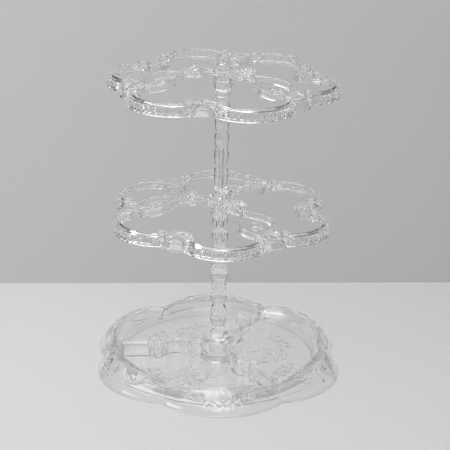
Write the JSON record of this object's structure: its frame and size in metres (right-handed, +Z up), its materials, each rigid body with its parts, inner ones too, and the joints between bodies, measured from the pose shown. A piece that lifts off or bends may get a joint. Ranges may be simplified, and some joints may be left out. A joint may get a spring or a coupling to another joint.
{
  "type": "earring stand",
  "caption": "Free-standing tabletop jewellery stand with a lobed tray, turned posts and openwork rings to hang earrings from",
  "frame": {"origin": "on the surface that the foot stands on, on the common axis of the two posts", "axes": "+Z up along the posts; -Y faces the viewer; +X to the viewer's right; a cusp of the tray lies on +X and one of its three dividers runs out at 60 degrees from +X"},
  "size_m": [0.23, 0.244, 0.2942],
  "materials": {
    "tray_plastic": "clear, moulded, high gloss",
    "post_plastic": "clear, moulded, high gloss",
    "tier_plastic": "clear, moulded, high gloss"
  },
  "bodies": {
    "root": {"base_tray": "tray_plastic", "lower_post": "post_plastic", "middle_tier": "tier_plastic", "upper_post": "post_plastic", "top_tier": "tier_plastic"}
  },
  "joints": []
}
